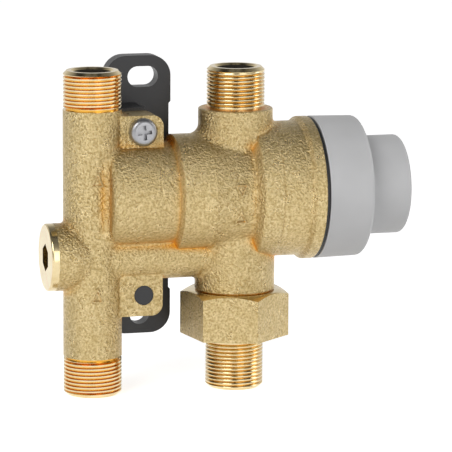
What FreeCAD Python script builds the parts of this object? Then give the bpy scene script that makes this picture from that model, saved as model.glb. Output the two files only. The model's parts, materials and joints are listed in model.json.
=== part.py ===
import FreeCAD, Part
import math
import os

# Three-way mixing valve for a hot-water tap, on its wall bracket. Millimetres.
# Origin: centre of the bracket's back face, on the wall. +X runs from the supply pipe to the knob,
# +Z is up, and the valve stands in front of the wall at negative Y.

os.makedirs("parts", exist_ok=True)
Vec = FreeCAD.Vector

# ---- Layout ------------------------------------------------------------------------------------
WALL_TO_AXIS = 19.0       # wall to the plane that holds every pipe axis
PIPE_X = -15.15           # axis of the pass-through supply pipe
PORT_SPACING = 36.13      # supply pipe axis to the axis of the outlet and the cold inlet
BARREL_Z = 2.98           # axis of the mixing barrel and of the knob
DUCT_DROP = 14.88         # barrel axis down to the axis of the cross duct

# ---- Clearances --------------------------------------------------------------------------------
RUNNING = 0.10            # radial, a piece that turns or slides in its bore
SNUG = 0.03               # radial, a piece pressed or screwed home
PART_GAP = 0.3            # between pieces that pass without touching
SEAM_TOLERANCE = 0.02     # an edge further than this from both outlines is a new junction

# ---- Ports: 9/16-24 male thread for 3/8 in compression tube --------------------------------------
THREAD_R = 7.145          # crest of the thread
CAST_PIPE_R = 7.2         # pipe as cast, beside the turned thread
THREAD_LENGTH = 9.6
THREAD_CHAMFER = 0.8
THREAD_RELIEF_R, THREAD_RELIEF = 6.5, 0.7   # plain groove where the thread runs out
MOUTH_R = 4.83            # socket for the 9.53 tube
MOUTH_DEPTH = 8.2
SEAT_R = 6.25             # wide end of the conical seat for the ferrule
WATERWAY_R = 4.0
PORT_TOP = 33.9           # both upper ports end at one height
PORT_BOTTOM = -46.3       # and both lower ones

# ---- Casting, outside; stations along the barrel count from the supply pipe axis ------------------
TAIL_START, TAIL_R, TAIL_EDGE = 2.6, 12.75, 1.8
STEP_START, STEP_END, STEP_EDGE = 19.0, 19.9, 0.4
MID_R, RIDGE_STATION, RIDGE_RISE = 14.4, 27.8, 0.2
COLLAR_START, COLLAR_FULL, COLLAR_R, COLLAR_END = 37.8, 39.3, 17.0, 44.3
HEAD_R, FLARE_START, FLARE_FULL, FLARE_R = 16.7, 51.3, 52.3, 17.7
BARREL_END = 54.8
DUCT_R = 6.4
BOSS_R, BOSS_END, BOSS_TAPER, BOSS_ROOT_R = 8.3, -10.0, -5.5, 6.8
OUTLET_BOSS_R, OUTLET_SHOULDER = 9.2, 23.6
NECK_R, NECK_SHOULDER = 9.9, -21.4
WIDE_BLEND, DUCT_BLEND, BLEND, SMALL_BLEND, FINE_BLEND = 2.5, 2.0, 1.5, 0.8, 0.4
LUG_THICKNESS, LUG_CORNER = 8.8, 2.8
TOP_LUG_RIGHT, TOP_LUG_TOP = 16.8, 22.9
LOW_LUG_RIGHT, LOW_LUG_BOTTOM = 16.65, -26.75

# ---- Casting, inside -----------------------------------------------------------------------------
POCKET_START, POCKET_R = 8.0, 6.5
HOT_SEAT, HOT_GROOVE_R = 12.0, 10.2
GUIDE_START, GUIDE_END, GUIDE_R = 17.0, 22.5, 9.4
COLD_SEAT, COLD_GROOVE_R = 28.0, 10.6
CHAMBER_R = 11.2
BONNET_SHOULDER, BONNET_BORE_R = 46.0, 13.6
HOT_DUCT_R, HOT_DUCT_END = 3.3, 17.0
COLD_DUCT_R, COLD_DUCT_START = 2.6, 23.0
FEED_R, HOT_FEED, COLD_FEED = 1.8, 15.15, 25.2
PLUG_BORE_R, PLUG_BORE_DEPTH = 6.3, 4.8

# ---- Access plug ---------------------------------------------------------------------------------
PLUG_FLANGE, PLUG_HEX, PLUG_HEX_DEPTH, PLUG_BEVEL = 1.8, 6.0, 3.4, 0.5
PLUG_SHANK = 4.6
ORING_SMALL = 1.2         # section of the plug's ring
RING_SQUEEZE = 0.02       # a ring stands this far off its groove and its bore

# ---- Check valves --------------------------------------------------------------------------------
HOT_CAGE_START, HOT_CAGE_LENGTH, HOT_CAGE_R, HOT_CAGE_WALL = 4.4, 8.8, 3.7, 0.75
HOT_SEAT_HOLE_R, HOT_POPPET_R, HOT_STEM_R, HOT_SPRING_R, HOT_WIRE = 1.8, 2.4, 0.7, 1.5, 0.4
COLD_CAGE_LENGTH, COLD_CAGE_R, COLD_CAGE_WALL = 11.4, 5.4, 0.9
COLD_CAGE_FLANGE_R, COLD_CAGE_FLANGE = 6.7, 1.0
COLD_SEAT_HOLE_R, COLD_POPPET_R, COLD_STEM_R, COLD_SPRING_R, COLD_WIRE = 2.8, 3.7, 0.9, 2.0, 0.5
CHECK_SEAT, CHECK_DISC, CHECK_SPIDER, CHECK_SPOKE = 1.0, 0.8, 1.0, 0.9
CHECK_STEM_PAST = 0.5     # the stem reaches this far into the spider's hub when shut

# ---- Union ---------------------------------------------------------------------------------------
SPIGOT_R, SPIGOT_LENGTH = 8.95, 7.0
NUT_FLATS, NUT_TOP_GAP, NUT_TURN = 23.4, 0.4, 23.0
NUT_LIP, NUT_CHAMFER = 1.9, 1.1
GASKET, GASKET_INNER_R = 1.2, 5.6
TAIL_COLLAR_R, TAIL_COLLAR = 8.7, 1.8
TAIL_WATERWAY_R = 4.4
STRAINER_FLANGE_R, STRAINER_FLANGE = 5.9, 0.8
STRAINER_R, STRAINER_WALL, STRAINER_LENGTH = 4.2, 0.5, 6.4
STRAINER_SLOTS, STRAINER_SLOT, STRAINER_SLOT_LENGTH = 6, 1.3, 4.2

# ---- Shuttle and sensing element -----------------------------------------------------------------
SHUTTLE_GAP = 0.9         # to either seat at rest
SHUTTLE_R, SHUTTLE_SKIRT_R, SHUTTLE_BORE_R = 9.3, 8.5, 7.7
SHUTTLE_LAND_START, SHUTTLE_LAND_END = 17.2, 22.0
SHUTTLE_RING, SHUTTLE_RING_GROOVE = 1.1, 1.6
HUB_R, HUB_START, HUB_END, HUB_FLOOR = 5.6, 18.6, 23.5, 20.5
HUB_SPOKES, HUB_SPOKE = 4, 2.0
SEAT_RING_BORE_R, SEAT_RING = 7.7, 1.8
BULB_R, BULB_END, BULB_EDGE = 4.6, 35.0, 1.2
ELEMENT_FLANGE_R, ELEMENT_FLANGE = 6.2, 1.6
ELEMENT_NECK_R, ELEMENT_NECK_END = 3.8, 40.5
ROD_R, ROD_START, ROD_BORE_FLOOR = 1.5, 33.5, 30.9
RETURN_SPRING_R, RETURN_WIRE = 4.7, 1.0

# ---- Overload unit -------------------------------------------------------------------------------
PUSHER_START, PUSHER_END, PUSHER_R = 42.0, 53.0, 7.7
PUSHER_BORE_R, PUSHER_FLOOR = 6.0, 1.5
PUSHER_STEM_R, PUSHER_STEM_END = 2.9, 61.0
KEY_WIDTH, KEY_R, KEY_START = 3.0, 9.0, 46.7
CLIP_GROOVE_START, CLIP_GROOVE, CLIP_GROOVE_R, CLIP_INNER_R = 42.7, 1.0, 6.7, 4.9
CUP_FLANGE, CUP_RECESS, CUP_STEM_R, CUP_STEM = 1.5, 1.0, 2.4, 2.8
OVERLOAD_SPRING_R, OVERLOAD_WIRE = 4.6, 0.75

# ---- Bonnet and spindle --------------------------------------------------------------------------
BONNET_RING, BONNET_RING_START = 1.6, BONNET_SHOULDER + 1.0
BONNET_FLATS, BONNET_COLLAR = 27.0, 3.0
BONNET_NECK_R, BONNET_NECK_END = 8.5, 64.0
BONNET_FLOOR, BONNET_KEYWAY_END = 56.8, 55.0
SPINDLE_FLANGE_R, SPINDLE_FLANGE_START = 6.6, 55.2
SPINDLE_R, SPINDLE_BORE_END = 4.5, 63.0
SPINDLE_RING, SPINDLE_RING_START = 0.9, 60.0
SPINDLE_CLIP, SPINDLE_CLIP_R, SPINDLE_CLIP_FLOOR_R = 0.8, 6.3, 3.8
TANG_START, TANG_END, TANG_FLATS = 65.4, 75.8, 5.0
TANG_HOLE_R, TANG_HOLE_DEPTH = 1.5, 8.0

# ---- Knob ----------------------------------------------------------------------------------------
SEAM_RING, SEAM_RING_R = 0.55, FLARE_R - 0.15
KNOB_R, KNOB_SHOULDER_R = FLARE_R, FLARE_R - 0.25
KNOB_SHOULDER, KNOB_EDGE, KNOB_WALL = 67.1, 1.0, 1.75
STUB_R, STUB_END, STUB_WALL = 12.3, 78.3, 1.7
STUB_BOSS_R, STUB_BOSS_START = 5.6, 66.4
KNOB_RIBS, KNOB_RIB = 4, 1.2
SCREW_WEB, SCREW_HEAD_R, SCREW_HEAD, SCREW_R, SCREW_LENGTH = 1.0, 2.9, 1.1, 1.45, 7.5
CAP_R, CAP_RISE = 3.3, 0.4

# ---- Wall bracket --------------------------------------------------------------------------------
PLATE_WIDTH, PLATE_WAIST, PLATE_HEIGHT, PLATE_THICKNESS, PLATE_CORNER = 16.56, 15.6, 70.26, 4.3, 5.2
WAIST_TOP, WAIST_BOTTOM, WAIST_SLOPE = 23.0, -23.7, 0.5
SLOT_X, SLOT_Z, SLOT_LENGTH, SLOT_WIDTH = 1.15, 29.85, 7.75, 5.15
HOLE_X, HOLE_Z, HOLE_R = 0.35, -30.3, 2.5
SCREW_X, SCREW_Z = -3.6, 18.95
PIN_X, PIN_Z, PIN_R = -3.25, -21.6, 2.35
STANDOFF_LEFT, STANDOFF_RIGHT = -10.6, 1.0
STANDOFF_TOP, STANDOFF_LOW_TOP = 23.5, -16.6
STANDOFF_HEIGHT, STANDOFF_LOW_HEIGHT, STANDOFF_CORNER = 10.5, 9.8, 2.6
PAN_R, PAN_HEIGHT, PAN_CROSS, PAN_CROSS_WIDTH, PAN_CROSS_DEPTH = 3.45, 2.2, 3.6, 0.9, 1.3
BODY_SCREW_R, BODY_SCREW_LENGTH, LUG_HOLE_R = 1.7, 12.0, 1.9

# ---- Derived places ------------------------------------------------------------------------------
PORT_X = PIPE_X + PORT_SPACING
DUCT_Z = BARREL_Z - DUCT_DROP
SPIGOT_END = NECK_SHOULDER - SPIGOT_LENGTH
COLLAR_TOP = SPIGOT_END - GASKET
COLLAR_BOTTOM = COLLAR_TOP - TAIL_COLLAR
NUT_TOP = NECK_SHOULDER - NUT_TOP_GAP
NUT_BOTTOM = COLLAR_BOTTOM - NUT_LIP
INLET_THREAD_END = NUT_BOTTOM - 1.0
CUP_FACE = CLIP_GROOVE_START + CLIP_GROOVE
CUP_BACK = CUP_FACE + CUP_FLANGE
ROD_END = CUP_FACE + CUP_RECESS
SPRING_SEAT = PUSHER_END - PUSHER_FLOOR
KNOB_START = BARREL_END + SEAM_RING + PART_GAP
LUG_FRONT = WALL_TO_AXIS + LUG_THICKNESS / 2
LUG_BACK = WALL_TO_AXIS - LUG_THICKNESS / 2


def along_x(z):
    """Axis running +X at height z; stations count from the supply pipe axis."""
    return FreeCAD.Placement(Vec(PIPE_X, -WALL_TO_AXIS, z), FreeCAD.Rotation())


def along_z(x):
    """Upright axis at x; stations are heights."""
    return FreeCAD.Placement(Vec(x, -WALL_TO_AXIS, 0), FreeCAD.Rotation(Vec(0, 1, 0), -90))


def from_wall(x, z):
    """Axis straight out of the wall at x, z; stations count from the wall."""
    return FreeCAD.Placement(Vec(x, 0, z), FreeCAD.Rotation(Vec(0, 0, 1), -90))


BARREL, DUCT = along_x(BARREL_Z), along_x(DUCT_Z)
PIPE, PORT = along_z(PIPE_X), along_z(PORT_X)


# ---- Tools ---------------------------------------------------------------------------------------
def rounded_face(outline):
    """Flat face from (x, z, corner radius) points, each corner an arc tangent to its two sides."""
    starts, ends, arcs = [], [], []
    for i, (x, z, radius) in enumerate(outline):
        corner = Vec(x, 0, z)
        back = Vec(outline[i - 1][0], 0, outline[i - 1][1]) - corner
        ahead = Vec(outline[(i + 1) % len(outline)][0], 0, outline[(i + 1) % len(outline)][1]) - corner
        if radius == 0:
            starts.append(corner)
            ends.append(corner)
            arcs.append(None)
            continue
        half = back.getAngle(ahead) / 2
        back.normalize()
        ahead.normalize()
        bisector = (back + ahead).normalize()
        centre = corner + bisector * (radius / math.sin(half))
        starts.append(corner + back * (radius / math.tan(half)))
        ends.append(corner + ahead * (radius / math.tan(half)))
        arcs.append(Part.Arc(starts[-1], centre - bisector * radius, ends[-1]).toShape())
    edges = []
    for i, arc in enumerate(arcs):
        if arc:
            edges.append(arc)
        if (starts[(i + 1) % len(arcs)] - ends[i]).Length > 1e-6:
            edges.append(Part.makeLine(ends[i], starts[(i + 1) % len(arcs)]))
    return Part.Face(Part.Wire(edges))


def turned(axis, outline):
    """Solid of revolution of (station, radius, corner radius) points about an axis."""
    solid = rounded_face(outline).revolve(Vec(0, 0, 0), Vec(1, 0, 0), 360)
    if solid.Volume < 0:
        solid.reverse()
    solid.Placement = axis
    return solid


def rod(axis, start, end, radius):
    """Plain cylinder between two stations."""
    solid = Part.makeCylinder(radius, end - start, Vec(start, 0, 0), Vec(1, 0, 0))
    solid.Placement = axis
    return solid


def ring(axis, start, end, outer, inner):
    """Tube between two stations."""
    return turned(axis, [(start, inner, 0), (start, outer, 0), (end, outer, 0), (end, inner, 0)])


def cone(axis, start, end, start_r, end_r):
    """Cone between two stations."""
    solid = Part.makeCone(start_r, end_r, end - start, Vec(start, 0, 0), Vec(1, 0, 0))
    solid.Placement = axis
    return solid


def prism(axis, sides, flats, start, end, turn=0.0):
    """Regular prism of a given size across its flats, turned about its axis."""
    corner_r = flats / 2 / math.cos(math.pi / sides)
    steps = [math.radians(turn + 360 * i / sides) for i in range(sides)]
    points = [Vec(start, corner_r * math.cos(a), corner_r * math.sin(a)) for a in steps]
    solid = Part.Face(Part.makePolygon(points + points[:1])).extrude(Vec(end - start, 0, 0))
    solid.Placement = axis
    return solid


def blade(axis, start, end, reach, width, angle, inner=0.0):
    """Flat bar from radius inner to radius reach, at an angle about an axis."""
    solid = Part.makeBox(end - start, width, reach - inner, Vec(start, -width / 2, inner))
    solid.rotate(Vec(0, 0, 0), Vec(1, 0, 0), angle)
    solid.Placement = axis.multiply(solid.Placement)
    return solid


def around(count, make):
    """Copies of one form at equal angles."""
    return [make(360.0 * i / count) for i in range(count)]


def seal_ring(axis, middle, section, inner, outer):
    """O-ring of round section lying midway between two radii."""
    minor = min(section, outer - inner) / 2 - RING_SQUEEZE
    solid = Part.makeTorus((inner + outer) / 2, minor, Vec(middle, 0, 0), Vec(1, 0, 0))
    solid.Placement = axis
    return solid


def coil_spring(axis, start, end, radius, wire, coils):
    """Round-wire helix whose end coils just meet two seats."""
    length = end - start - wire - 2 * RING_SQUEEZE
    helix = Part.makeHelix(length / coils, length, radius)
    tangent = helix.Edges[0].tangentAt(helix.Edges[0].FirstParameter)
    section = Part.Wire(Part.makeCircle(wire / 2, Vec(radius, 0, 0), tangent))
    solid = Part.Wire(helix.Edges).makePipeShell([section], True, True)
    solid.rotate(Vec(0, 0, 0), Vec(0, 1, 0), 90)
    solid.translate(Vec(start + wire / 2 + RING_SQUEEZE, 0, 0))
    solid.Placement = axis.multiply(solid.Placement)
    return solid


def middle(edge):
    return edge.valueAt((edge.FirstParameter + edge.LastParameter) / 2)


def blend(first, second, radius):
    """Fuse two forms of a casting and round the inside corners where they meet."""
    fused = first.fuse(second).removeSplitter().Solids[0]
    outlines = Part.makeCompound(first.Edges + second.Edges)
    seams = [e for e in fused.Edges
             if Part.Vertex(middle(e)).distToShape(outlines)[0] > SEAM_TOLERANCE]
    return fused.makeFillet(radius, seams)


def join(solids):
    """One solid from touching or crossing ones, added one at a time."""
    whole = solids[0]
    for solid in solids[1:]:
        whole = whole.fuse(solid)
    return whole.removeSplitter().Solids[0]


def save(node, shape):
    shape.exportStep("parts/" + node + ".step")


# ---- Casting -------------------------------------------------------------------------------------
def port_bore(axis, end, direction):
    """Tube socket with its conical ferrule seat, cut into a port that ends at a station."""
    floor = end - direction * MOUTH_DEPTH
    seat_end = end - direction * (SEAT_R - MOUTH_R)
    socket = rod(axis, min(floor, end), max(floor, end), MOUTH_R)
    if direction > 0:
        return [socket, cone(axis, seat_end, end, MOUTH_R, SEAT_R)]
    return [socket, cone(axis, end, seat_end, SEAT_R, MOUTH_R)]


def supply_pipe():
    """Pass-through pipe: cast in the middle, turned for a thread at both ends."""
    top_thread, low_thread = PORT_TOP - THREAD_LENGTH, PORT_BOTTOM + THREAD_LENGTH
    return turned(PIPE, [
        (PORT_BOTTOM, 0, 0), (PORT_BOTTOM, THREAD_R - THREAD_CHAMFER, 0),
        (PORT_BOTTOM + THREAD_CHAMFER, THREAD_R, 0),
        (low_thread - THREAD_RELIEF, THREAD_R, 0), (low_thread - THREAD_RELIEF, THREAD_RELIEF_R, 0),
        (low_thread, THREAD_RELIEF_R, 0), (low_thread, CAST_PIPE_R, 0),
        (top_thread, CAST_PIPE_R, 0), (top_thread, THREAD_RELIEF_R, 0),
        (top_thread + THREAD_RELIEF, THREAD_RELIEF_R, 0), (top_thread + THREAD_RELIEF, THREAD_R, 0),
        (PORT_TOP - THREAD_CHAMFER, THREAD_R, 0), (PORT_TOP, THREAD_R - THREAD_CHAMFER, 0),
        (PORT_TOP, 0, 0)])


def outlet_port():
    """Mixed-water outlet: a cast boss on the barrel, turned down to the thread above a shoulder."""
    return turned(PORT, [
        (BARREL_Z, 0, 0), (BARREL_Z, OUTLET_BOSS_R, 0), (OUTLET_SHOULDER, OUTLET_BOSS_R, 0.4),
        (OUTLET_SHOULDER, THREAD_RELIEF_R, 0), (OUTLET_SHOULDER + THREAD_RELIEF, THREAD_RELIEF_R, 0),
        (OUTLET_SHOULDER + THREAD_RELIEF, THREAD_R, 0), (PORT_TOP - THREAD_CHAMFER, THREAD_R, 0),
        (PORT_TOP, THREAD_R - THREAD_CHAMFER, 0), (PORT_TOP, 0, 0)])


def barrel_steps():
    """The barrel's outline: step, parting ridge, collar, head and flare, all cast round."""
    return turned(BARREL, [
        (STEP_START, 0, 0), (STEP_START, TAIL_R - 0.5, 0), (STEP_START, TAIL_R, 0),
        (STEP_END, MID_R, STEP_EDGE), (RIDGE_STATION - 0.6, MID_R, 0),
        (RIDGE_STATION, MID_R + RIDGE_RISE, 0.3), (RIDGE_STATION + 0.6, MID_R, 0),
        (COLLAR_START, MID_R, 0.5), (COLLAR_FULL, COLLAR_R, 0.9), (COLLAR_END - 0.3, COLLAR_R, 0.2),
        (COLLAR_END + 0.1, HEAD_R, 0), (FLARE_START, HEAD_R, 0.5), (FLARE_FULL, FLARE_R, 0.5),
        (BARREL_END, FLARE_R, 0.2), (BARREL_END, 0, 0)])


def lug(right, low, high, corner_z):
    """Flat lug on the casting's parting plane, with one rounded outer corner."""
    box = Part.makeBox(right, LUG_THICKNESS, high - low,
                       Vec(PIPE_X, -WALL_TO_AXIS - LUG_THICKNESS / 2, low))
    corner = [e for e in box.Edges
              if abs(middle(e).x - PIPE_X - right) < 1e-6 and abs(middle(e).z - corner_z) < 1e-6]
    return box.makeFillet(LUG_CORNER, corner)


def casting_outside():
    pipe, outlet = supply_pipe(), outlet_port()
    tail = turned(BARREL, [(TAIL_START, 0, 0), (TAIL_START, TAIL_R, TAIL_EDGE),
                           (COLD_SEAT, TAIL_R, 0), (COLD_SEAT, 0, 0)])
    duct = rod(DUCT, 0, PORT_SPACING, DUCT_R)
    boss = turned(DUCT, [(BOSS_END, 0, 0), (BOSS_END, BOSS_R, 0), (BOSS_TAPER, BOSS_R, 2.0),
                         (0, BOSS_ROOT_R, 0), (0, 0, 0)])
    neck = rod(PORT, NECK_SHOULDER, BARREL_Z, NECK_R)
    mid = rod(BARREL, STEP_END, FLARE_START, MID_R)
    head = rod(BARREL, COLLAR_FULL, FLARE_START, HEAD_R)
    top_lug = lug(TOP_LUG_RIGHT, BARREL_Z, TOP_LUG_TOP, TOP_LUG_TOP)
    low_lug = lug(LOW_LUG_RIGHT, LOW_LUG_BOTTOM, DUCT_Z, LOW_LUG_BOTTOM)
    return join([
        blend(pipe, tail, BLEND), blend(pipe, duct, DUCT_BLEND), blend(pipe, boss, SMALL_BLEND),
        blend(mid, outlet, WIDE_BLEND), blend(head, outlet, BLEND), blend(mid, neck, WIDE_BLEND),
        blend(head, neck, BLEND), blend(neck, duct, BLEND), blend(tail, duct, SMALL_BLEND),
        blend(pipe, top_lug, SMALL_BLEND), blend(pipe, low_lug, SMALL_BLEND),
        blend(tail, top_lug, FINE_BLEND), blend(duct, low_lug, SMALL_BLEND),
        barrel_steps(), rod(PORT, SPIGOT_END, NECK_SHOULDER, SPIGOT_R)])


def valve_body():
    cuts = port_bore(PIPE, PORT_TOP, 1) + port_bore(PIPE, PORT_BOTTOM, -1)
    cuts += port_bore(PORT, PORT_TOP, 1)
    cuts += [
        rod(PIPE, PORT_BOTTOM, PORT_TOP, WATERWAY_R),
        rod(PORT, BARREL_Z, PORT_TOP, WATERWAY_R),
        turned(BARREL, [
            (POCKET_START, 0, 0), (POCKET_START, POCKET_R, 0), (HOT_SEAT, POCKET_R, 0),
            (HOT_SEAT, HOT_GROOVE_R, 0), (GUIDE_START, HOT_GROOVE_R, 0), (GUIDE_START, GUIDE_R, 0),
            (GUIDE_END, GUIDE_R, 0), (GUIDE_END, COLD_GROOVE_R, 0), (COLD_SEAT, COLD_GROOVE_R, 0),
            (COLD_SEAT, CHAMBER_R, 0), (BONNET_SHOULDER, CHAMBER_R, 0),
            (BONNET_SHOULDER, BONNET_BORE_R, 0), (BARREL_END, BONNET_BORE_R, 0), (BARREL_END, 0, 0)]),
        rod(DUCT, BOSS_END, BOSS_END + PLUG_BORE_DEPTH, PLUG_BORE_R),
        rod(DUCT, BOSS_END, HOT_CAGE_START + HOT_CAGE_LENGTH, HOT_CAGE_R),
        rod(DUCT, HOT_CAGE_START, HOT_DUCT_END, HOT_DUCT_R),
        rod(DUCT, COLD_DUCT_START, PORT_SPACING, COLD_DUCT_R),
        rod(PORT, SPIGOT_END, SPIGOT_END + COLD_CAGE_LENGTH, COLD_CAGE_R),
        rod(PORT, SPIGOT_END, SPIGOT_END + COLD_CAGE_FLANGE, COLD_CAGE_FLANGE_R),
        rod(PORT, SPIGOT_END, DUCT_Z + COLD_DUCT_R, WATERWAY_R),
        rod(along_z(PIPE_X + HOT_FEED), DUCT_Z, BARREL_Z, FEED_R),
        rod(along_z(PIPE_X + COLD_FEED), DUCT_Z, BARREL_Z, FEED_R),
        rod(from_wall(SCREW_X, SCREW_Z), LUG_BACK, LUG_FRONT, LUG_HOLE_R),
        rod(from_wall(PIN_X, PIN_Z), LUG_BACK, LUG_FRONT, PIN_R + RUNNING)]
    return casting_outside().cut(cuts)


# ---- Access plug ---------------------------------------------------------------------------------
def access_plug():
    outer, groove_end = BOSS_END - PLUG_FLANGE, BOSS_END + ORING_SMALL + 0.2
    shank_r = PLUG_BORE_R - SNUG
    body = turned(DUCT, [
        (outer, 0, 0), (outer, BOSS_R, PLUG_BEVEL), (BOSS_END, BOSS_R, 0),
        (BOSS_END, shank_r - ORING_SMALL, 0), (groove_end, shank_r - ORING_SMALL, 0),
        (groove_end, shank_r, 0), (BOSS_END + PLUG_SHANK, shank_r, 0),
        (BOSS_END + PLUG_SHANK, 0, 0)])
    socket = prism(DUCT, 6, PLUG_HEX, outer, outer + PLUG_HEX_DEPTH, 90)
    relief = rod(DUCT, BOSS_END + PLUG_SHANK - 1.8, BOSS_END + PLUG_SHANK, HOT_CAGE_R)
    return body.cut([socket, relief])


def access_plug_oring():
    middle_x = BOSS_END + ORING_SMALL / 2 + 0.1
    return seal_ring(DUCT, middle_x, ORING_SMALL, PLUG_BORE_R - SNUG - ORING_SMALL, PLUG_BORE_R)


# ---- Check valves --------------------------------------------------------------------------------
def check_cage(axis, start, length, outer, wall, seat_hole, stem_r, flange=None):
    """Tube with a seat at its inlet and, at its outlet, a three-spoke hub that guides the stem."""
    inner, end = outer - wall, start + length
    shell = turned(axis, [
        (start, seat_hole, 0), (start, outer, 0), (end, outer, 0), (end, inner, 0),
        (start + CHECK_SEAT, inner, 0), (start + CHECK_SEAT, seat_hole, 0)])
    hub = rod(axis, end - CHECK_SPIDER, end, stem_r + CHECK_SPOKE)
    spokes = around(3, lambda a: blade(axis, end - CHECK_SPIDER, end, inner + wall / 2, CHECK_SPOKE, a))
    pieces = [shell, hub] + spokes
    if flange:
        pieces.append(ring(axis, start, start + flange[1], flange[0], seat_hole))
    return join(pieces).cut(rod(axis, end - CHECK_SPIDER, end, stem_r + RUNNING))


def check_poppet(axis, start, length, disc_r, stem_r):
    """Disc that shuts on the cage's seat, with its guided stem."""
    face = start + CHECK_SEAT
    stem_end = start + length - CHECK_SPIDER + CHECK_STEM_PAST
    return turned(axis, [(face, 0, 0), (face, disc_r, 0.2), (face + CHECK_DISC, disc_r, 0.2),
                         (face + CHECK_DISC, stem_r, 0), (stem_end, stem_r, 0.2), (stem_end, 0, 0)])


def check_spring(axis, start, length, radius, wire, coils):
    return coil_spring(axis, start + CHECK_SEAT + CHECK_DISC, start + length - CHECK_SPIDER,
                       radius, wire, coils)


# ---- Union ---------------------------------------------------------------------------------------
def union_nut():
    """Hexagon nut, its upper edge turned to a round chamfer, with a lip that holds the tailpiece."""
    hexagon = prism(PORT, 6, NUT_FLATS, NUT_BOTTOM, NUT_TOP, NUT_TURN)
    corner_r = NUT_FLATS / 2 / math.cos(math.pi / 6)
    round_top = turned(PORT, [
        (NUT_BOTTOM, 0, 0), (NUT_BOTTOM, corner_r, 0), (NUT_TOP - NUT_CHAMFER, corner_r, 0),
        (NUT_TOP, NUT_FLATS / 2 - 0.3, 0), (NUT_TOP, 0, 0)])
    bore = rod(PORT, COLLAR_BOTTOM, NUT_TOP, SPIGOT_R + SNUG)
    hole = rod(PORT, NUT_BOTTOM, NUT_TOP, THREAD_R + RUNNING)
    return hexagon.common(round_top).cut([bore, hole])


def tailpiece():
    """Threaded inlet tube whose collar the union nut pulls up against the gasket."""
    outside = turned(PORT, [
        (PORT_BOTTOM, 0, 0), (PORT_BOTTOM, THREAD_R - THREAD_CHAMFER, 0),
        (PORT_BOTTOM + THREAD_CHAMFER, THREAD_R, 0), (INLET_THREAD_END, THREAD_R, 0),
        (INLET_THREAD_END, THREAD_RELIEF_R, 0), (INLET_THREAD_END + THREAD_RELIEF, THREAD_RELIEF_R, 0),
        (INLET_THREAD_END + THREAD_RELIEF, THREAD_R, 0), (COLLAR_BOTTOM, THREAD_R, 0),
        (COLLAR_BOTTOM, TAIL_COLLAR_R, 0), (COLLAR_TOP, TAIL_COLLAR_R, 0), (COLLAR_TOP, 0, 0)])
    recess = rod(PORT, COLLAR_TOP - STRAINER_FLANGE, COLLAR_TOP, STRAINER_FLANGE_R + RUNNING)
    waterway = rod(PORT, PORT_BOTTOM, COLLAR_TOP, TAIL_WATERWAY_R)
    return outside.cut(port_bore(PORT, PORT_BOTTOM, -1) + [recess, waterway])


def inlet_strainer():
    """Slotted basket hanging in the tailpiece from its flange."""
    flange_bottom = COLLAR_TOP - STRAINER_FLANGE
    bottom = flange_bottom - STRAINER_LENGTH
    inner = STRAINER_R - STRAINER_WALL
    basket = turned(PORT, [
        (bottom, 0, 0), (bottom, STRAINER_R, 0.4), (flange_bottom, STRAINER_R, 0),
        (flange_bottom, STRAINER_FLANGE_R, 0), (COLLAR_TOP, STRAINER_FLANGE_R, 0),
        (COLLAR_TOP, inner, 0), (bottom + STRAINER_WALL, inner, 0), (bottom + STRAINER_WALL, 0, 0)])
    slot_bottom = bottom + (STRAINER_LENGTH - STRAINER_SLOT_LENGTH) / 2
    slots = around(STRAINER_SLOTS, lambda a: blade(
        PORT, slot_bottom, slot_bottom + STRAINER_SLOT_LENGTH, STRAINER_R + 1, STRAINER_SLOT, a, 1.5))
    return basket.cut(slots)


def tailpiece_gasket():
    return ring(PORT, COLLAR_TOP, SPIGOT_END, TAIL_COLLAR_R - 0.1, GASKET_INNER_R)


# ---- Shuttle and sensing element -----------------------------------------------------------------
def shuttle():
    """Sleeve that opens one seat as it shuts the other, with a spoked hub for the element."""
    start, end = HOT_SEAT + SHUTTLE_GAP, COLD_SEAT - SHUTTLE_GAP
    groove = (SHUTTLE_LAND_START + SHUTTLE_LAND_END - SHUTTLE_RING_GROOVE) / 2
    floor_r = GUIDE_R - SHUTTLE_RING
    sleeve = turned(BARREL, [
        (start, SHUTTLE_BORE_R, 0), (start, SHUTTLE_SKIRT_R, 0.2),
        (SHUTTLE_LAND_START, SHUTTLE_SKIRT_R, 0), (SHUTTLE_LAND_START, SHUTTLE_R, 0.2),
        (groove, SHUTTLE_R, 0), (groove, floor_r, 0), (groove + SHUTTLE_RING_GROOVE, floor_r, 0),
        (groove + SHUTTLE_RING_GROOVE, SHUTTLE_R, 0), (SHUTTLE_LAND_END, SHUTTLE_R, 0.2),
        (SHUTTLE_LAND_END, SHUTTLE_SKIRT_R, 0), (end, SHUTTLE_SKIRT_R, 0.2), (end, SHUTTLE_BORE_R, 0)])
    hub = turned(BARREL, [
        (HUB_START, 0, 0), (HUB_START, HUB_R, 0.3), (HUB_END, HUB_R, 0.3), (HUB_END, BULB_R + SNUG, 0),
        (HUB_FLOOR, BULB_R + SNUG, 0), (HUB_FLOOR, 0, 0)])
    spokes = around(HUB_SPOKES, lambda a: blade(
        BARREL, HUB_START, HUB_FLOOR + 1, (SHUTTLE_BORE_R + floor_r) / 2, HUB_SPOKE, a, HUB_R - 0.3))
    return join([sleeve, hub] + spokes)


def shuttle_oring():
    centre = (SHUTTLE_LAND_START + SHUTTLE_LAND_END) / 2
    return seal_ring(BARREL, centre, SHUTTLE_RING, GUIDE_R - SHUTTLE_RING, GUIDE_R)


def cold_seat_ring():
    return ring(BARREL, COLD_SEAT, COLD_SEAT + SEAT_RING, CHAMBER_R - SNUG, SEAT_RING_BORE_R)


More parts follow.
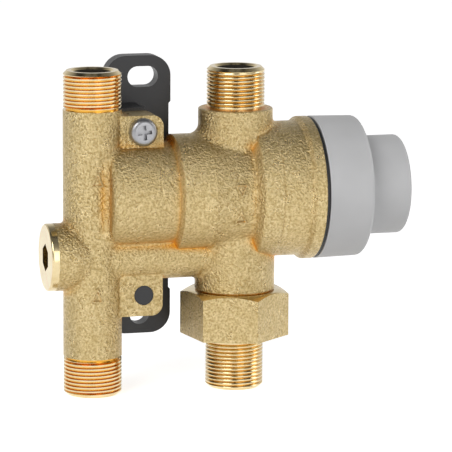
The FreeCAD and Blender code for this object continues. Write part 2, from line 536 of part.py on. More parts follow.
def wax_element():
    """Sealed bulb, crimp flange and guide neck, bored for its push rod."""
    flange_end = BULB_END + ELEMENT_FLANGE
    bore_r = ROD_R + RUNNING
    return turned(BARREL, [
        (HUB_FLOOR, 0, 0), (HUB_FLOOR, BULB_R, BULB_EDGE), (BULB_END, BULB_R, 0),
        (BULB_END, ELEMENT_FLANGE_R, 0.5), (flange_end, ELEMENT_FLANGE_R, 0.5),
        (flange_end, ELEMENT_NECK_R, 0), (ELEMENT_NECK_END, ELEMENT_NECK_R, 0.4),
        (ELEMENT_NECK_END, bore_r, 0), (ROD_BORE_FLOOR, bore_r, 0), (ROD_BORE_FLOOR, 0, 0)])


def element_rod():
    return turned(BARREL, [(ROD_START, 0, 0), (ROD_START, ROD_R, 0.4), (ROD_END, ROD_R, 0.4),
                           (ROD_END, 0, 0)])


# ---- Overload unit -------------------------------------------------------------------------------
def pusher():
    """Keyed cup that climbs the spindle's thread without turning."""
    cup = turned(BARREL, [
        (PUSHER_START, PUSHER_BORE_R, 0), (PUSHER_START, PUSHER_R, 0.3), (PUSHER_END, PUSHER_R, 0.3),
        (PUSHER_END, PUSHER_STEM_R, 0), (PUSHER_STEM_END, PUSHER_STEM_R, 0.4), (PUSHER_STEM_END, 0, 0),
        (SPRING_SEAT, 0, 0), (SPRING_SEAT, PUSHER_BORE_R, 0)])
    groove = rod(BARREL, CLIP_GROOVE_START, CUP_FACE, CLIP_GROOVE_R)
    keys = around(2, lambda a: blade(BARREL, KEY_START, PUSHER_END, KEY_R, KEY_WIDTH, a, PUSHER_R - 0.8))
    return join([cup] + keys).cut(groove)


def split_clip(axis, start, end, outer, inner, gap):
    """Spring clip: a flat ring with a gap in it."""
    slit = blade(axis, start, end, outer + 1, gap, 0, inner - 1)
    return ring(axis, start, end, outer, inner).cut(slit)


def overload_clip():
    side = 0.05
    return split_clip(BARREL, CLIP_GROOVE_START + side, CUP_FACE - side, CLIP_GROOVE_R - RUNNING,
                      CLIP_INNER_R, 2.4)


def overload_cup():
    """Sprung button that holds the rod's end and gives way when the shuttle is already shut."""
    flange_r, recess_r = PUSHER_BORE_R - RUNNING, ROD_R + SNUG
    return turned(BARREL, [
        (CUP_FACE, recess_r, 0), (CUP_FACE, flange_r, 0), (CUP_BACK, flange_r, 0),
        (CUP_BACK, CUP_STEM_R, 0), (CUP_BACK + CUP_STEM, CUP_STEM_R, 0.4), (CUP_BACK + CUP_STEM, 0, 0),
        (ROD_END, 0, 0), (ROD_END, recess_r, 0)])


# ---- Bonnet and spindle --------------------------------------------------------------------------
def bonnet():
    """Screwed-in headwork: thread, hexagon collar and neck, bored for the pusher and the spindle."""
    shank_r, collar_end = BONNET_BORE_R - SNUG, BARREL_END + BONNET_COLLAR
    groove_end, floor_r = BONNET_RING_START + BONNET_RING + 0.2, BONNET_BORE_R - BONNET_RING
    shank = turned(BARREL, [
        (BONNET_SHOULDER, 0, 0), (BONNET_SHOULDER, shank_r, 0.3), (BONNET_RING_START, shank_r, 0),
        (BONNET_RING_START, floor_r, 0), (groove_end, floor_r, 0), (groove_end, shank_r, 0),
        (BARREL_END, shank_r, 0), (BARREL_END, BONNET_NECK_R, 0),
        (BONNET_NECK_END, BONNET_NECK_R, 0.4), (BONNET_NECK_END, 0, 0)])
    collar = prism(BARREL, 6, BONNET_FLATS, BARREL_END, collar_end, 30)
    bore = rod(BARREL, BONNET_SHOULDER, BONNET_FLOOR, PUSHER_R + RUNNING)
    neck_bore = rod(BARREL, BONNET_FLOOR, BONNET_NECK_END, SPINDLE_R + RUNNING)
    keyways = around(2, lambda a: blade(BARREL, BONNET_SHOULDER, BONNET_KEYWAY_END, KEY_R + PART_GAP,
                                        KEY_WIDTH + 2 * RUNNING, a))
    return join([shank, collar]).cut([bore, neck_bore] + keyways)


def bonnet_oring():
    centre = BONNET_RING_START + BONNET_RING / 2 + 0.1
    return seal_ring(BARREL, centre, BONNET_RING, BONNET_BORE_R - BONNET_RING, BONNET_BORE_R)


def spindle():
    """Turning spindle: thrust flange, bored and threaded for the pusher, with a square tang."""
    floor_r = SPINDLE_R + RUNNING - SPINDLE_RING
    ring_end, clip_end = SPINDLE_RING_START + SPINDLE_RING + 0.3, BONNET_NECK_END + 0.1 + SPINDLE_CLIP
    body = turned(BARREL, [
        (SPINDLE_FLANGE_START, PUSHER_STEM_R + RUNNING, 0),
        (SPINDLE_FLANGE_START, SPINDLE_FLANGE_R, 0.2), (BONNET_FLOOR - 0.05, SPINDLE_FLANGE_R, 0.2),
        (BONNET_FLOOR - 0.05, SPINDLE_R, 0), (SPINDLE_RING_START, SPINDLE_R, 0),
        (SPINDLE_RING_START, floor_r, 0), (ring_end, floor_r, 0), (ring_end, SPINDLE_R, 0),
        (BONNET_NECK_END + 0.05, SPINDLE_R, 0), (BONNET_NECK_END + 0.05, SPINDLE_CLIP_FLOOR_R, 0),
        (clip_end + 0.05, SPINDLE_CLIP_FLOOR_R, 0), (clip_end + 0.05, SPINDLE_R, 0),
        (TANG_START, SPINDLE_R, 0.1), (TANG_START, 0, 0), (SPINDLE_BORE_END, 0, 0),
        (SPINDLE_BORE_END, PUSHER_STEM_R + RUNNING, 0)])
    tang = prism(BARREL, 4, TANG_FLATS, TANG_START, TANG_END, 45)
    hole = rod(BARREL, TANG_END - TANG_HOLE_DEPTH, TANG_END, TANG_HOLE_R)
    return join([body, tang]).cut(hole)


def spindle_oring():
    bore_r = SPINDLE_R + RUNNING
    centre = SPINDLE_RING_START + SPINDLE_RING / 2 + 0.15
    return seal_ring(BARREL, centre, SPINDLE_RING, bore_r - SPINDLE_RING, bore_r)


def spindle_clip():
    start = BONNET_NECK_END + 0.1
    return split_clip(BARREL, start, start + SPINDLE_CLIP - 0.05, SPINDLE_CLIP_R,
                      SPINDLE_CLIP_FLOOR_R + SNUG, 5.0)


# ---- Knob ----------------------------------------------------------------------------------------
def seam_ring():
    inner = BONNET_FLATS / 2 / math.cos(math.pi / 6) + RUNNING
    return ring(BARREL, BARREL_END, BARREL_END + SEAM_RING, SEAM_RING_R, inner)


def knob():
    """Moulded cap: tapered skirt, grip stub, and a ribbed boss that fits the spindle's tang."""
    skirt_r, web = KNOB_R - KNOB_WALL, KNOB_SHOULDER - KNOB_WALL
    stub_inner, end_web = STUB_R - STUB_WALL, STUB_END - STUB_WALL
    shell = turned(BARREL, [
        (KNOB_START, skirt_r, 0), (KNOB_START, KNOB_R, 0.2), (KNOB_SHOULDER, KNOB_SHOULDER_R, KNOB_EDGE),
        (KNOB_SHOULDER, STUB_R, SMALL_BLEND), (STUB_END, STUB_R, KNOB_EDGE), (STUB_END, 0, 0),
        (end_web, 0, 0), (end_web, stub_inner, 0), (web, stub_inner, 0), (web, skirt_r, 0)])
    boss = rod(BARREL, STUB_BOSS_START, end_web, STUB_BOSS_R)
    ribs = around(KNOB_RIBS, lambda a: blade(BARREL, KNOB_SHOULDER, end_web, stub_inner + 0.3, KNOB_RIB,
                                             a + 45, STUB_BOSS_R - 0.3))
    socket = prism(BARREL, 4, TANG_FLATS + RUNNING, STUB_BOSS_START, TANG_END + 0.1, 45)
    head_seat = TANG_END + 0.1 + SCREW_WEB
    screw_hole = rod(BARREL, TANG_END, head_seat, SCREW_R + RUNNING)
    head_hole = rod(BARREL, head_seat, STUB_END, CAP_R - 0.15)
    return join([shell, boss] + ribs).cut([socket, screw_hole, head_hole])


def knob_screw():
    seat = TANG_END + 0.1 + SCREW_WEB
    return turned(BARREL, [
        (seat - SCREW_LENGTH, 0, 0), (seat - SCREW_LENGTH, SCREW_R, 0.3), (seat, SCREW_R, 0),
        (seat, SCREW_HEAD_R, 0), (seat + SCREW_HEAD, SCREW_HEAD_R, 0.4), (seat + SCREW_HEAD, 0, 0)])


def knob_cap():
    """Small disc that covers the screw."""
    plug_r, plug_start = CAP_R - 0.15 - SNUG, TANG_END + 0.1 + SCREW_WEB + SCREW_HEAD
    return turned(BARREL, [
        (plug_start, 0, 0), (plug_start, plug_r, 0), (STUB_END, plug_r, 0), (STUB_END, CAP_R, 0),
        (STUB_END + CAP_RISE, CAP_R, 0.2), (STUB_END + CAP_RISE, 0, 0)])


# ---- Wall bracket --------------------------------------------------------------------------------
def standoff(top, height):
    """Pad that carries a lug, cut away to cradle the supply pipe and the barrel or the duct."""
    pad = rounded_face([
        (STANDOFF_LEFT, top - height, 0), (STANDOFF_RIGHT, top - height, 0),
        (STANDOFF_RIGHT, top, STANDOFF_CORNER), (STANDOFF_LEFT, top, 0)])
    return pad.extrude(Vec(0, -LUG_BACK, 0)).cut([
        rod(PIPE, PORT_BOTTOM, PORT_TOP, CAST_PIPE_R + PART_GAP),
        rod(BARREL, 0, BARREL_END, TAIL_R + SMALL_BLEND + PART_GAP),
        rod(DUCT, 0, BARREL_END, DUCT_R + SMALL_BLEND + PART_GAP)])


def bracket():
    """One moulding: waisted plate, two standoffs and the pin that locates the lower lug."""
    half, waist, tall = PLATE_WIDTH / 2, PLATE_WAIST / 2, PLATE_HEIGHT / 2
    right = [(half, -tall, PLATE_CORNER), (half, WAIST_BOTTOM - WAIST_SLOPE, 0),
             (waist, WAIST_BOTTOM, 0), (waist, WAIST_TOP, 0), (half, WAIST_TOP + WAIST_SLOPE, 0),
             (half, tall, PLATE_CORNER)]
    left = [(-x, z, corner) for x, z, corner in reversed(right)]
    plate = rounded_face(right + left).extrude(Vec(0, -PLATE_THICKNESS, 0))
    slot_half, end_r = SLOT_LENGTH / 2, SLOT_WIDTH / 2 - 0.01
    slot = rounded_face([(SLOT_X + sx * slot_half, SLOT_Z + sz * SLOT_WIDTH / 2, end_r)
                         for sx, sz in ((-1, -1), (1, -1), (1, 1), (-1, 1))])
    screw_axis, pin_axis = from_wall(SCREW_X, SCREW_Z), from_wall(PIN_X, PIN_Z)
    solids = [plate, standoff(STANDOFF_TOP, STANDOFF_HEIGHT),
              standoff(STANDOFF_LOW_TOP, STANDOFF_LOW_HEIGHT), rod(pin_axis, 0, LUG_FRONT, PIN_R)]
    return join(solids).cut([
        slot.extrude(Vec(0, -PLATE_THICKNESS, 0)),
        rod(from_wall(HOLE_X, HOLE_Z), 0, LUG_FRONT, HOLE_R),
        rod(screw_axis, LUG_FRONT - BODY_SCREW_LENGTH - 1, LUG_FRONT, BODY_SCREW_R + SNUG)])


def bracket_screw():
    """Pan-head screw with a cross recess, through the upper lug into its standoff."""
    axis = from_wall(SCREW_X, SCREW_Z)
    top = LUG_FRONT + PAN_HEIGHT
    body = turned(axis, [
        (LUG_FRONT - BODY_SCREW_LENGTH, 0, 0), (LUG_FRONT - BODY_SCREW_LENGTH, BODY_SCREW_R, 0.5),
        (LUG_FRONT, BODY_SCREW_R, 0), (LUG_FRONT, PAN_R, 0), (top, PAN_R, 1.3), (top, 0, 0)])
    cross = [blade(axis, top - PAN_CROSS_DEPTH, top, PAN_CROSS / 2, PAN_CROSS_WIDTH, a, -PAN_CROSS / 2)
             for a in (5, 95)]
    return body.cut(cross)


# ---- All nodes -----------------------------------------------------------------------------------
HOT_CHECK = (DUCT, HOT_CAGE_START, HOT_CAGE_LENGTH)
COLD_CHECK = (PORT, SPIGOT_END, COLD_CAGE_LENGTH)

save("valve_body", valve_body())
save("access_plug", access_plug())
save("access_plug_oring", access_plug_oring())
save("hot_check_cage", check_cage(*HOT_CHECK, HOT_CAGE_R - SNUG, HOT_CAGE_WALL, HOT_SEAT_HOLE_R, HOT_STEM_R))
save("hot_check_poppet", check_poppet(*HOT_CHECK, HOT_POPPET_R, HOT_STEM_R))
save("hot_check_spring", check_spring(*HOT_CHECK, HOT_SPRING_R, HOT_WIRE, 6))
save("cold_check_cage", check_cage(*COLD_CHECK, COLD_CAGE_R - SNUG, COLD_CAGE_WALL, COLD_SEAT_HOLE_R,
                                   COLD_STEM_R, (COLD_CAGE_FLANGE_R - SNUG, COLD_CAGE_FLANGE)))
save("cold_check_poppet", check_poppet(*COLD_CHECK, COLD_POPPET_R, COLD_STEM_R))
save("cold_check_spring", check_spring(*COLD_CHECK, COLD_SPRING_R, COLD_WIRE, 6))
save("union_nut", union_nut())
save("tailpiece", tailpiece())
save("tailpiece_gasket", tailpiece_gasket())
save("inlet_strainer", inlet_strainer())
save("cold_seat_ring", cold_seat_ring())
save("shuttle", shuttle())
save("shuttle_oring", shuttle_oring())
save("wax_element", wax_element())
save("element_rod", element_rod())
save("return_spring", coil_spring(BARREL, POCKET_START, HUB_START, RETURN_SPRING_R, RETURN_WIRE, 5))
save("pusher", pusher())
save("overload_clip", overload_clip())
save("overload_cup", overload_cup())
save("overload_spring", coil_spring(BARREL, CUP_BACK, SPRING_SEAT, OVERLOAD_SPRING_R, OVERLOAD_WIRE, 5))
save("bonnet", bonnet())
save("bonnet_oring", bonnet_oring())
save("spindle", spindle())
save("spindle_oring", spindle_oring())
save("spindle_clip", spindle_clip())
save("seam_ring", seam_ring())
save("knob", knob())
save("knob_screw", knob_screw())
save("knob_cap", knob_cap())
save("bracket", bracket())
save("bracket_screw", bracket_screw())
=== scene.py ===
import json
import math

import bmesh
import bpy
from mathutils import Matrix, Vector


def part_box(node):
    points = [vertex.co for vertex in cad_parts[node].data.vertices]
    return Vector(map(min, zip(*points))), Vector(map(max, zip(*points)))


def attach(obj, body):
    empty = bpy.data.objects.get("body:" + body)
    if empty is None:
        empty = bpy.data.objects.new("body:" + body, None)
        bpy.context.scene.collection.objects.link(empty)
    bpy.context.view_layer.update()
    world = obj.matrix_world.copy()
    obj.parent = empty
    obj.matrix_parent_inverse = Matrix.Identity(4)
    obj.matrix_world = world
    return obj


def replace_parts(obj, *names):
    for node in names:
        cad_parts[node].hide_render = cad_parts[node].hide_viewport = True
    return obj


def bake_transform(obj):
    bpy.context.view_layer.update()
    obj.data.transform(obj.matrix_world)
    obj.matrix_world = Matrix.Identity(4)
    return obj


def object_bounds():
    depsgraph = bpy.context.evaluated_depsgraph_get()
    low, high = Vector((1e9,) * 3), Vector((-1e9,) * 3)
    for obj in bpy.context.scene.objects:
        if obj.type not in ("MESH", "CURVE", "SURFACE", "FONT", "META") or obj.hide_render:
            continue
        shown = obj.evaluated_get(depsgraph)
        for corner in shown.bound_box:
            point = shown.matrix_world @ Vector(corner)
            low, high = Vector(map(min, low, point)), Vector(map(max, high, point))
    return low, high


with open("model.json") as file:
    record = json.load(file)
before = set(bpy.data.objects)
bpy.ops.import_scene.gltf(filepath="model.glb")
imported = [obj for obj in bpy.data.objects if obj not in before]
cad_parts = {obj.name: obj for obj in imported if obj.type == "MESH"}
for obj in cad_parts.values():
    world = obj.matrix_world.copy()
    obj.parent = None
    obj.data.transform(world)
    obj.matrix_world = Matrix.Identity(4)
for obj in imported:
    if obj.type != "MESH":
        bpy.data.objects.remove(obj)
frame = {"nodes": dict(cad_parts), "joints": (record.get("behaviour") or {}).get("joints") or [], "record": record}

# A brass mixing valve on a pale floor. Lengths are in metres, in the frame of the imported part:
# +X runs along the barrel to the knob, +Y into the wall, +Z up.

MM = 0.001
cad_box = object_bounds()

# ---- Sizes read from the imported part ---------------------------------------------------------
MOUNTS = {m["name"]: m for m in frame["record"]["mounts"]}
THREAD_R = MOUNTS["supply_in"]["dims"]["r_mm"] * MM
AXIS_Y = MOUNTS["supply_in"]["pos_m"][1]
PIPE_X = MOUNTS["supply_in"]["pos_m"][0]
PORT_X = MOUNTS["cold_in"]["pos_m"][0]
BODY_LOW, BODY_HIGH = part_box("valve_body")
BARREL_Z = next(j for j in frame["joints"] if j["name"] == "knob_turn")["pos_m"][2]
PORT_TOP, PORT_BOTTOM = BODY_HIGH.z, BODY_LOW.z
INLET_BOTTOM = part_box("tailpiece")[0].z

CAST_PIPE_R = 7.2 * MM
CHAMFER = 0.8 * MM           # turned end of each port
RELIEF = 0.7 * MM            # groove where each thread runs out
RELIEF_R = 6.5 * MM
MOUTH_R = 4.83 * MM          # bore just inside each mouth
SEAT_R, SEAT_DEPTH = 6.25 * MM, 1.42 * MM                # conical seat of the solids
SHOWN_SEAT_R, SHOWN_SEAT_DEPTH = 5.35 * MM, 0.5 * MM     # and the smaller one that shows
BORE_R = 6.0 * MM            # everything nearer than this to a port's axis is inside the port
PITCH = 0.925 * MM
THREAD_DEPTH = 0.58 * MM
CREST_END, ROOT_START, ROOT_END = 0.40, 0.58, 0.82       # one thread, as shares of the pitch
THREAD_AROUND = 96           # lines of points round a thread
ROOT_SHARE = 0.35            # a face deeper than this share of the thread belongs to its root
ARROW_WIRE = 0.30 * MM       # radius of the arrows' raised outline
ARROW_STEPS = 8              # short pieces along each side of an arrow
NUT_TURN = -13.0             # degrees from the nut's place in the solids
NUT_FLAT_R = 11.0 * MM       # the flats are further out than this from the nut's axis
SHARP = math.radians(28)     # an edge that turns by more than this stays sharp
SAME = 0.02 * MM             # closer than this counts as the same place
WELD = 0.0005 * MM           # points of a solid's mesh closer than this are one


# ---- Node materials -----------------------------------------------------------------------------
class Graph:
    """A material's node tree, with short ways to add what most finishes here need."""

    def __init__(self, name):
        self.material = bpy.data.materials.new(name)
        self.material.use_nodes = True
        self.tree = self.material.node_tree
        self.shader = self.tree.nodes["Principled BSDF"]
        self.place = self.add("ShaderNodeTexCoord").outputs["Object"]

    def add(self, kind, **values):
        node = self.tree.nodes.new(kind)
        for key, value in values.items():
            setattr(node, key, value)
        return node

    def link(self, out, into):
        self.tree.links.new(out, into)

    def noise(self, size, detail=2.0, roughness=0.5, stretch=None):
        """Noise whose features are about `size` metres across."""
        node = self.add("ShaderNodeTexNoise")
        place = self.place
        if stretch:
            scale = self.add("ShaderNodeMapping")
            scale.inputs["Scale"].default_value = stretch
            self.link(place, scale.inputs["Vector"])
            place = scale.outputs["Vector"]
        self.link(place, node.inputs["Vector"])
        node.inputs["Scale"].default_value = 1 / size
        node.inputs["Detail"].default_value = detail
        node.inputs["Roughness"].default_value = roughness
        return node.outputs["Fac"]

    def spread(self, value, low, high, to_low=0.0, to_high=1.0):
        """Stretch the range low..high of a value over to_low..to_high."""
        node = self.add("ShaderNodeMapRange")
        self.link(value, node.inputs["Value"])
        limits = {"From Min": low, "From Max": high, "To Min": to_low, "To Max": to_high}
        for name, number in limits.items():
            node.inputs[name].default_value = number
        return node.outputs["Result"]

    def mix(self, share, first, second):
        """Colour mix; each colour is an output or a list of three numbers."""
        node = self.add("ShaderNodeMix", data_type="RGBA")
        self.link(share, node.inputs["Factor"])
        for socket, colour in ((node.inputs["A"], first), (node.inputs["B"], second)):
            if isinstance(colour, (list, tuple)):
                socket.default_value = (*colour, 1)
            else:
                self.link(colour, socket)
        return node.outputs["Result"]

    def painted_reflection_mask(self, distance, open_share, shut_share):
        """1 in the piece's own inside corners, 0 on its open faces: the share of painted orange reflection there.
        """
        node = self.add("ShaderNodeAmbientOcclusion", samples=8, only_local=True)
        node.inputs["Distance"].default_value = distance
        return self.spread(node.outputs["AO"], open_share, shut_share)

    def bump(self, height, depth, strength=1.0):
        node = self.add("ShaderNodeBump")
        node.inputs["Distance"].default_value = depth
        node.inputs["Strength"].default_value = strength
        self.link(height, node.inputs["Height"])
        self.link(node.outputs["Normal"], self.shader.inputs["Normal"])

    def finish(self, colour, roughness, metallic=0.0):
        if isinstance(colour, (list, tuple)):
            self.shader.inputs["Base Color"].default_value = (*colour, 1)
        else:
            self.link(colour, self.shader.inputs["Base Color"])
        if isinstance(roughness, float):
            self.shader.inputs["Roughness"].default_value = roughness
        else:
            self.link(roughness, self.shader.inputs["Roughness"])
        self.shader.inputs["Metallic"].default_value = metallic
        return self.material


def cast_brass():
    """Sand-cast and blasted brass: a satin grain, with a painted orange reflection in its inside corners."""
    g = Graph("cast_brass")
    grain, patches = g.noise(0.55 * MM, 2.5, 0.62), g.noise(3.5 * MM, 2.0)
    body = g.mix(g.spread(grain, 0.36, 0.64), [0.41, 0.295, 0.12], [0.72, 0.58, 0.32])
    body = g.mix(g.spread(patches, 0.35, 0.75, 0.0, 0.3), body, [0.54, 0.40, 0.17])
    # painted orange reflection: the inside corners are coloured as if the brass saw itself there
    body = g.mix(g.painted_reflection_mask(4.5 * MM, 0.86, 0.52), body, [0.80, 0.38, 0.03])
    g.bump(grain, 0.55 * MM)
    return g.finish(body, g.spread(patches, 0.3, 0.7, 0.26, 0.36), 1.0)


def turned_brass():
    """Machined brass: bright, with fine tool lines round its axis, and a painted orange reflection where it sees
    itself.
    """
    g = Graph("turned_brass")
    lines, tone = g.noise(0.25 * MM, 2.0, 0.5, (0.05, 0.05, 1.0)), g.noise(2.5 * MM)
    body = g.mix(g.spread(tone, 0.3, 0.7), [0.66, 0.53, 0.29], [0.76, 0.63, 0.38])
    # painted orange reflection in the tight inside corners
    body = g.mix(g.painted_reflection_mask(0.55 * MM, 0.62, 0.30), body, [0.80, 0.37, 0.04])
    g.bump(lines, 0.01 * MM, 0.5)
    return g.finish(body, g.spread(lines, 0.3, 0.7, 0.13, 0.21), 1.0)


def plain_metal(name, dark, light, roughness):
    """Metal with a fine even grain."""
    g = Graph(name)
    spots = g.noise(0.3 * MM, 3.0)
    g.bump(spots, 0.008 * MM, 0.6)
    return g.finish(g.mix(g.spread(spots, 0.3, 0.7), dark, light),
                    g.spread(spots, 0.3, 0.7, roughness, roughness + 0.1), 1.0)


def moulded(name, dark, light, roughness):
    """Moulded plastic or rubber with the fine texture of its mould."""
    g = Graph(name)
    spots, cloud = g.noise(0.16 * MM, 2.0), g.noise(9 * MM, 2.0)
    g.bump(spots, 0.012 * MM, 0.5)
    return g.finish(g.mix(g.spread(cloud, 0.3, 0.7), dark, light),
                    g.spread(spots, 0.3, 0.7, roughness, roughness + 0.12), 0.0)


FINISHES = {
    "cast_brass": cast_brass(),
    "turned_brass": turned_brass(),
    "seal_rubber": moulded("seal_rubber", [0.016, 0.016, 0.016], [0.026, 0.026, 0.026], 0.55),
    "check_plastic": moulded("check_plastic", [0.74, 0.74, 0.71], [0.80, 0.80, 0.77], 0.40),
    "spring_steel": plain_metal("spring_steel", [0.52, 0.52, 0.53], [0.64, 0.64, 0.65], 0.28),
    "strainer_steel": plain_metal("strainer_steel", [0.50, 0.50, 0.50], [0.62, 0.62, 0.62], 0.32),
    "shuttle_plastic": moulded("shuttle_plastic", [0.05, 0.05, 0.055], [0.07, 0.07, 0.075], 0.42),
    "element_copper": plain_metal("element_copper", [0.62, 0.34, 0.22], [0.74, 0.45, 0.31], 0.30),
    "seam_plastic": moulded("seam_plastic", [0.010, 0.010, 0.010], [0.014, 0.014, 0.014], 0.45),
    "knob_plastic": moulded("knob_plastic", [0.535, 0.535, 0.54], [0.57, 0.57, 0.575], 0.42),
    "bracket_plastic": moulded("bracket_plastic", [0.014, 0.014, 0.016], [0.024, 0.024, 0.026], 0.33),
    "zinc_steel": plain_metal("zinc_steel", [0.30, 0.30, 0.31], [0.38, 0.38, 0.39], 0.30),
}
# Painted orange reflection for the deep faces of each thread, where the brass sees itself
THREAD_ROOT_REFLECTION = plain_metal("thread_root_painted_reflection", [0.72, 0.36, 0.05], [0.82, 0.44, 0.08], 0.22)
# Painted shade: the brass bore deep inside each port is coloured near black
BORE_SHADE = moulded("port_bore_painted_shade", [0.012, 0.009, 0.005], [0.022, 0.016, 0.008], 0.7)
PORT_FINISHES = [FINISHES["turned_brass"], THREAD_ROOT_REFLECTION, BORE_SHADE]


# ---- Screw threads ------------------------------------------------------------------------------
# The root slot carries the painted orange reflection of the grooves; the inside slot carries painted shade deep in
# each port.
TURNED, ROOT, INSIDE_SHADE = 1, 2, 3        # material slots of the threaded pieces, after the main one


def thread_rows(low, high, turn):
    """(height, radius) up one line of the thread's surface, at a share of a turn round it."""
    profile = ((0.0, 0), (CREST_END, 0), (ROOT_START, 1), (ROOT_END, 1))
    rows = [(low, THREAD_R)]
    for k in range(-1, int((high - low) / PITCH) + 2):
        for offset, deep in profile:
            z = low + (k + turn + offset) * PITCH
            if low < z < high:
                runout = min(1.0, (z - low) / (0.5 * PITCH), (high - z) / (0.5 * PITCH))
                rows.append((z, THREAD_R - deep * THREAD_DEPTH * runout))
    return rows + [(high, THREAD_R)]


def add_thread(bm, x, low, high):
    """Helical ridge between two heights of a port. Each strip joins two neighbouring lines."""
    def line(i):
        turn, angle = i / THREAD_AROUND, 2 * math.pi * i / THREAD_AROUND
        return [bm.verts.new((x + r * math.cos(angle), AXIS_Y + r * math.sin(angle), z))
                for z, r in thread_rows(low, high, turn)]

    first = last = line(0)
    for i in range(1, THREAD_AROUND + 1):
        # the last strip closes the turn, where the helix has climbed by one pitch
        here = line(i) if i < THREAD_AROUND else first
        stitch(bm, x, last, here)
        last = here


def stitch(bm, x, left, right):
    """Fill between two lines of points that run up, always stepping on the lower side."""
    i = j = 0
    while i < len(left) - 1 or j < len(right) - 1:
        up_left = left[i + 1].co.z if i < len(left) - 1 else math.inf
        up_right = right[j + 1].co.z if j < len(right) - 1 else math.inf
        if up_left < up_right:
            face = bm.faces.new((left[i], right[j], left[i + 1]))
            i += 1
        else:
            face = bm.faces.new((left[i], right[j], right[j + 1]))
            j += 1
        depth = THREAD_R - from_axis(face.calc_center_median(), x)
        face.material_index = ROOT if depth > ROOT_SHARE * THREAD_DEPTH else TURNED


def from_axis(point, x):
    """Distance of a point from the upright axis of a port."""
    return math.hypot(point.x - x, point.y - AXIS_Y)


def on_thread(face, x, low, high):
    """Whether a face lies on the plain cylinder that stands for a port's thread."""
    return all(abs(from_axis(v.co, x) - THREAD_R) < SAME and low - SAME < v.co.z < high + SAME
               for v in face.verts)


def port_slot(face, x, end_low, end_high, mouth, away):
    """Material slot of a face of a port; a face away from its turned end keeps its own."""
    centre = face.calc_center_median()
    r = from_axis(centre, x)
    # deep in the bore a face gets the near-black painted shade
    if r < BORE_R and (mouth - centre.z) * away > SHOWN_SEAT_DEPTH + SAME:
        return INSIDE_SHADE
    if r < THREAD_R + SAME and end_low - SAME < centre.z < end_high + SAME:
        # on the supply pipe the relief groove gets the thread root's painted orange reflection too
        return ROOT if x == PIPE_X and abs(r - RELIEF_R) < SAME else TURNED
    return face.material_index


def shape_mouth(bm, x, mouth, away):
    """Draw a port's conical seat in to the size that the photo shows."""
    for vert in bm.verts:
        r, depth = from_axis(vert.co, x), (mouth - vert.co.z) * away
        if MOUTH_R - SAME < r < SEAT_R + SAME and -SAME < depth < SEAT_DEPTH + SAME:
            share = (r - MOUTH_R) / (SEAT_R - MOUTH_R)
            new_r = MOUTH_R + share * (SHOWN_SEAT_R - MOUTH_R)
            vert.co.x = x + (vert.co.x - x) * new_r / r
            vert.co.y = AXIS_Y + (vert.co.y - AXIS_Y) * new_r / r
            vert.co.z = mouth - away * depth * SHOWN_SEAT_DEPTH / SEAT_DEPTH


def add_object(name, data):
    """A new object in the scene."""
    made = bpy.data.objects.new(name, data)
    bpy.context.scene.collection.objects.link(made)
    return made


def add_piece(name, mesh, materials):
    """A dressed piece that rides on the valve's body."""
    for material in materials:
        mesh.materials.append(material)
    piece = add_object(name, mesh)
    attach(piece, "valve")
    return piece


def open_mesh(node):
    """A copy of a CAD node's mesh, and its points and faces joined up for editing."""
    mesh = frame["nodes"][node].data.copy()
    mesh.materials.clear()
    bm = bmesh.new()
    bm.from_mesh(mesh)
    bmesh.ops.remove_doubles(bm, verts=bm.verts, dist=WELD)
    return mesh, bm


def close_mesh(mesh, bm):
    """Shade round faces smooth and keep the edges of the form sharp."""
    for face in bm.faces:
        face.smooth = True
    for edge in bm.edges:
        edge.smooth = not (len(edge.link_faces) == 2 and edge.calc_face_angle(0.0) > SHARP)
    bm.to_mesh(mesh)
    bm.free()


def threaded(name, node, slot, ports):
    """A copy of a CAD node with its plain thread cylinders swapped for real threads."""
    mesh, bm = open_mesh(node)
    for face in bm.faces:
        face.material_index = 0
    for x, low, high, mouth in ports:
        away = 1 if mouth > high else -1      # the way the port opens
        end_low = low - RELIEF if away > 0 else mouth
        end_high = mouth if away > 0 else high + RELIEF
        plain = [face for face in bm.faces if on_thread(face, x, low, high)]
        bmesh.ops.delete(bm, context="FACES", geom=plain)
        shape_mouth(bm, x, mouth, away)
        for face in bm.faces:
            face.material_index = port_slot(face, x, end_low, end_high, mouth, away)
        add_thread(bm, x, low, high)
    close_mesh(mesh, bm)
    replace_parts(add_piece(name, mesh, [FINISHES[slot]] + PORT_FINISHES), node)


def port(mount, mouth):
    """Axis, thread's low and high end and mouth of a port, from its mount."""
    length = MOUNTS[mount]["dims"]["length_mm"] * MM
    x = MOUNTS[mount]["pos_m"][0]
    if mouth == PORT_TOP:
        return x, mouth - CHAMFER - length, mouth - CHAMFER, mouth
    return x, mouth + CHAMFER, mouth + CHAMFER + length, mouth


threaded("valve_casting", "valve_body", "cast_brass",
         [port("supply_in", PORT_BOTTOM), port("supply_out", PORT_TOP), port("mixed_out", PORT_TOP)])
threaded("inlet_tailpiece", "tailpiece", "turned_brass", [port("cold_in", INLET_BOTTOM)])


# ---- Raised flow arrows of the casting ------------------------------------------------------------
def on_pipe(turn, base):
    """Where a point of an arrow lies on the supply pipe, from its place across and up the arrow."""
    def place(across, up):
        angle = turn + across / CAST_PIPE_R
        return Vector((PIPE_X + CAST_PIPE_R * math.sin(angle),
                       AXIS_Y - CAST_PIPE_R * math.cos(angle), base + up))
    return place


def on_barrel(turn, way):
    """The same on the barrel, where way is 1 for an arrow that points up and -1 for down."""
    def place(across, up):
        angle = turn + way * up / ARROW_BARREL_R
        return Vector((PIPE_X + ARROW_STATION + across, AXIS_Y - ARROW_BARREL_R * math.cos(angle),
                       BARREL_Z + ARROW_BARREL_R * math.sin(angle)))
    return place


